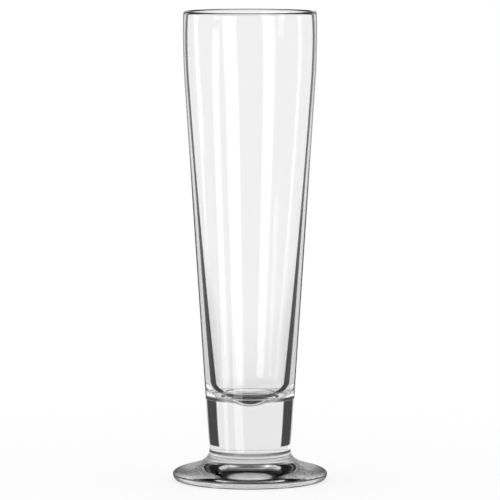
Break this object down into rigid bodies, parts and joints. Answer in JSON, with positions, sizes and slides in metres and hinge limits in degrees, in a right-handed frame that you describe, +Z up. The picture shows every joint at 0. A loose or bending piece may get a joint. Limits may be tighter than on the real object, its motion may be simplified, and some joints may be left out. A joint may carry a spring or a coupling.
{
  "type": "pilsner glass",
  "caption": "Tall tapered clear beer glass with a rounded rim, a thick rounded inner bottom, a short solid stem and a domed round foot.",
  "frame": {"origin": "middle of the foot, on the plane that the standing ring rests on", "axes": "+Z up along the axis of the glass, through the middle of the mouth"},
  "size_m": [0.0774, 0.0774, 0.235],
  "materials": {
    "clear_glass": "clear colourless soda-lime glass, fire polished, smooth and glossy"
  },
  "bodies": {
    "root": {"bowl": "clear_glass", "stem": "clear_glass", "foot": "clear_glass"}
  },
  "joints": []
}
